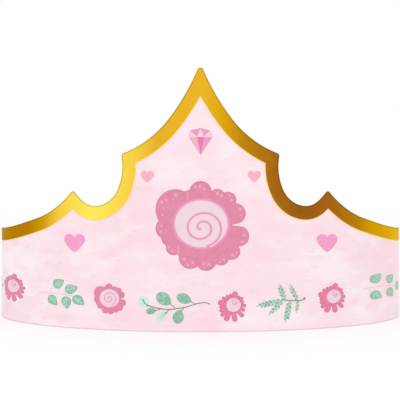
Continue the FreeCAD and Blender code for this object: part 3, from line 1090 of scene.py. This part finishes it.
class CROWN_OT_print_leaves(Garland, bpy.types.Operator):
    """Print the leaf sprigs, branches and ferns of the garland"""

    bl_idname = "crown.print_leaves"
    bl_label = "Print the Leaves"

    def execute(self, context):
        return self.print_forms(GARLAND_SPRAYS, ("leaf_rims", "leaves", "veins", "stems"))

    def leaf(self, x, y, length, width, turn):
        """A pointed leaf with a light rib and light side veins."""
        self.lay("leaf_rims", leaf_outline(length, width, True), "leaf_edge", 1, x, y, turn)
        self.lay("leaves", leaf_outline(length - 0.55, width - 0.5, True), "leaf", 2, x, y, turn)
        rib = stroke(smooth_line([(-length * 0.44, 0), (0, 0.1), (length * 0.40, 0)], 3), 0.30, 0.12)
        self.lay("veins", rib, "leaf_vein", 3, x, y, turn)
        for start in (-0.27, -0.06, 0.14):
            half = width * (0.32 - 0.25 * max(0.0, start))
            for end in (-half, half):
                vein = stroke([(length * start, 0.0), (length * (start + 0.16), end)], 0.20, 0.10)
                self.lay("veins", vein, "leaf_vein", 3, x, y, turn)

    def round_leaf(self, x, y, length, width, turn, mint=False):
        """A blunt leaf of the branch with a fine darker rib, and with dabs unless it is a mint one."""
        if not mint:
            self.lay("leaf_rims", leaf_outline(length, width, False), "leaf_edge", 1, x, y, turn)
        inner = leaf_outline(length - 0.4, width - 0.4, False)
        self.lay("leaves", inner, "leaf_mint" if mint else "leaf", 2, x, y, turn)
        line = smooth_line([(-length * 0.52, 0), (-length * 0.1, 0.1), (length * 0.22, 0)], 3)
        self.lay("veins", stroke(line, 0.28, 0.12), "leaf_edge", 3, x, y, turn)
        if mint:
            return
        for along, aside, size in (
            (0.10, 0.24, 0.30), (-0.16, -0.22, 0.24), (0.28, -0.12, 0.18), (-0.24, 0.20, 0.16),
        ):
            spot = turned(Vector((length * along, width * aside)), math.radians(turn))
            dab = oval(length * size, width * 0.13, 12)
            self.lay("veins", dab, "leaf_edge", 3, x + spot.x, y + spot.y, turn + 14)

    def stem(self, points, width, paint="stem_faint", count=1):
        self.lay("stems", stroke(smooth_line(points, 4), width, width * 0.8), paint, count)

    def sprig(self):
        leaves = [(-1.5, 4.3, 32), (3.7, 2.2, 18), (-4.0, -3.1, -42), (1.7, -3.6, -84), (6.5, -2.5, -38)]
        for x, y, turn in leaves:
            self.leaf(x, y, 5.3, 4.0, turn)
        self.stem([(-10.9, 0.1), (-6.0, 0.1), (-1.0, -0.2), (3.0, -0.6), (5.4, -0.8)], 0.34)
        self.stem([(-5.6, 0.1), (-5.2, 1.3), (-4.2, 2.2)], 0.30)
        self.stem([(1.2, -0.4), (1.6, 0.6)], 0.30)

    def posy(self):
        leaves = [(-4.0, 4.3, 44), (2.25, 3.4, 34), (-3.9, -3.2, -28), (2.3, -2.9, -48), (8.2, -0.6, 0)]
        for x, y, turn in leaves:
            self.leaf(x, y, 4.8, 3.9, turn)
        self.stem([(-8.2, 0.1), (-3.0, 0.5), (2.0, 0.1), (6.4, -0.5)], 0.34)
        self.stem([(-6.2, 0.3), (-6.4, -1.6)], 0.28)

    def branch(self):
        for leaf in (
            (-3.6, 2.7, 6.8, 5.0, 147), (4.5, 2.9, 6.2, 4.2, 160), (2.3, -4.5, 5.7, 4.4, 256),
            (-8.9, -2.3, 4.1, 2.6, 186), (-11.8, 1.6, 5.2, 5.0, 128, True), (-4.5, -4.3, 5.6, 4.2, 214, True),
        ):
            self.round_leaf(*leaf)
        line = [
            (-12.2, 2.4), (-10.5, 0.2), (-5.3, -1.2), (-1.0, -1.5), (1.8, -1.1), (5.4, -0.5), (9.4, 0.8),
            (13.0, 1.3), (14.9, 0.7),
        ]
        self.stem(line, 0.40, "stem", 3)
        for twig in (
            [(-1.4, 1.2), (0.9, -0.9)], [(7.2, 1.7), (9.0, 0.8)], [(3.3, -2.2), (4.6, -0.9)],
            [(-3.0, -3.0), (-1.2, -1.5)], [(-7.0, -2.0), (-4.8, -1.4)],
        ):
            self.stem(twig, 0.30, "stem", 3)

    def fern(self):
        for x, y, length, width, turn, pairs in (
            (-0.8, 0.1, 10.4, 2.5, 192, 6), (0.5, 0.2, 7.2, 2.4, 112, 4), (5.7, 0.0, 7.6, 2.1, 118, 4),
            (-0.8, -0.4, 7.6, 2.0, 225, 4), (2.4, -0.2, 8.9, 2.6, 259, 5), (5.8, -0.2, 5.0, 1.4, 263, 3),
        ):
            for index, leaflet in enumerate(frond_outlines(length, width, pairs)):
                name, paint, count = ("leaves", "leaf", 2) if index % 3 else ("leaf_rims", "leaf_edge", 1)
                self.lay(name, leaflet, paint, count, x, y, turn)
            rib = stroke([(0, 0), (length * 0.5, 0.05), (length * 0.94, 0)], 0.30, 0.12)
            self.lay("veins", rib, "leaf_vein", 3, x, y, turn)
        self.stem([(-1.2, 0.3), (1.0, 0.2), (5.0, -0.2), (7.2, -0.1), (8.4, 0.4)], 0.36, "stem", 4)
        self.lay("stems", oval(0.9, 0.9, 12), "stem", 4, 8.6, 0.6)


class CROWN_OT_set_stage(bpy.types.Operator):
    """Lay the pale floor and set the light, the background and the camera"""

    bl_idname = "crown.set_stage"
    bl_label = "Set the Stage"

    def floor(self):
        deselect()
        bpy.ops.mesh.primitive_plane_add(size=8.0, location=(0, 0, 0))
        floor = bpy.context.object
        floor.name = "floor"
        paint = Paint("pale_floor")
        paint.set("Base Color", (FLOOR_SHADE, FLOOR_SHADE, FLOOR_SHADE, 1.0))
        paint.set("Roughness", 1.0)
        paint.set("Specular IOR Level", 0.0)
        strength = paint.math("MULTIPLY", paint.direct_rays(), FLOOR_GLOW)
        glow = paint.node("ShaderNodeEmission", {"Strength": strength})
        ends = {0: paint.shader.outputs["BSDF"], 1: glow.outputs["Emission"]}
        both = paint.node("ShaderNodeAddShader", ends)
        paint.link(both.outputs["Shader"], paint.output.inputs["Surface"])
        floor.data.materials.append(paint.material)

    def world(self, scene):
        world = bpy.data.worlds.new("soft_white")
        scene.world = world
        world.use_nodes = True
        background = world.node_tree.nodes["Background"]
        background.inputs["Color"].default_value = (1.0, 1.0, 1.0, 1.0)
        nodes = Nodes(world.node_tree)
        level = nodes.math("MULTIPLY_ADD", nodes.direct_rays(), DIRECT_LIGHT, WORLD_LIGHT)
        nodes.link(level, background.inputs["Strength"])

    def softbox(self):
        deselect()
        bpy.ops.object.light_add(type="AREA", location=(-0.2, -2.2, 1.3))
        lamp = bpy.context.object
        lamp.name = "soft_panel"
        lamp.rotation_euler = Vector((0.2, 2.2, -1.25)).to_track_quat("-Z", "Y").to_euler()
        lamp.data.shape = "SQUARE"
        lamp.data.size = 2.6
        lamp.data.energy = 6.5
        lamp.visible_camera = False

    def camera(self, scene):
        deselect()
        bpy.ops.object.camera_add(location=EYE, rotation=(math.radians(90), 0.0, 0.0))
        camera = bpy.context.object
        camera.name = "front_camera"
        camera.data.lens = EYE_LENS
        camera.data.sensor_width = 36.0
        camera.data.clip_start = 0.01
        camera.data.clip_end = 20.0
        scene.camera = camera

    def execute(self, context):
        scene = context.scene
        self.floor()
        self.world(scene)
        self.softbox()
        self.camera(scene)
        scene.view_settings.view_transform = "Standard"
        return {"FINISHED"}


class CROWN_PT_parts(bpy.types.Panel):
    """The crown's parts, with a button for each"""

    bl_idname = "CROWN_PT_parts"
    bl_label = "Crown"
    bl_space_type = "VIEW_3D"
    bl_region_type = "UI"
    bl_category = "Crown"

    def draw(self, context):
        layout = self.layout
        for operator in OPERATORS:
            layout.operator(operator.bl_idname)
        for group in (context.scene.crown_sizes, context.scene.crown_colours):
            box = layout.box()
            for name in group.__annotations__:
                box.prop(group, name)


OPERATORS = (
    CROWN_OT_roll_card,
    CROWN_OT_gild_border,
    CROWN_OT_print_rose,
    CROWN_OT_print_gem,
    CROWN_OT_print_hearts,
    CROWN_OT_print_flowers,
    CROWN_OT_print_leaves,
    CROWN_OT_set_stage,
)
CLASSES = (CrownSizes, CrownColours, *OPERATORS, CROWN_PT_parts)


def register():
    for item in CLASSES:
        bpy.utils.register_class(item)
    bpy.types.Scene.crown_sizes = bpy.props.PointerProperty(type=CrownSizes)
    bpy.types.Scene.crown_colours = bpy.props.PointerProperty(type=CrownColours)


def unregister():
    del bpy.types.Scene.crown_colours
    del bpy.types.Scene.crown_sizes
    for item in reversed(CLASSES):
        bpy.utils.unregister_class(item)


def main():
    register()
    bpy.ops.crown.roll_card()
    bpy.ops.crown.gild_border()
    bpy.ops.crown.print_rose()
    bpy.ops.crown.print_gem()
    bpy.ops.crown.print_hearts()
    bpy.ops.crown.print_flowers()
    bpy.ops.crown.print_leaves()
    bpy.ops.crown.set_stage()
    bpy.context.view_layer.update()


if __name__ == "__main__":
    main()
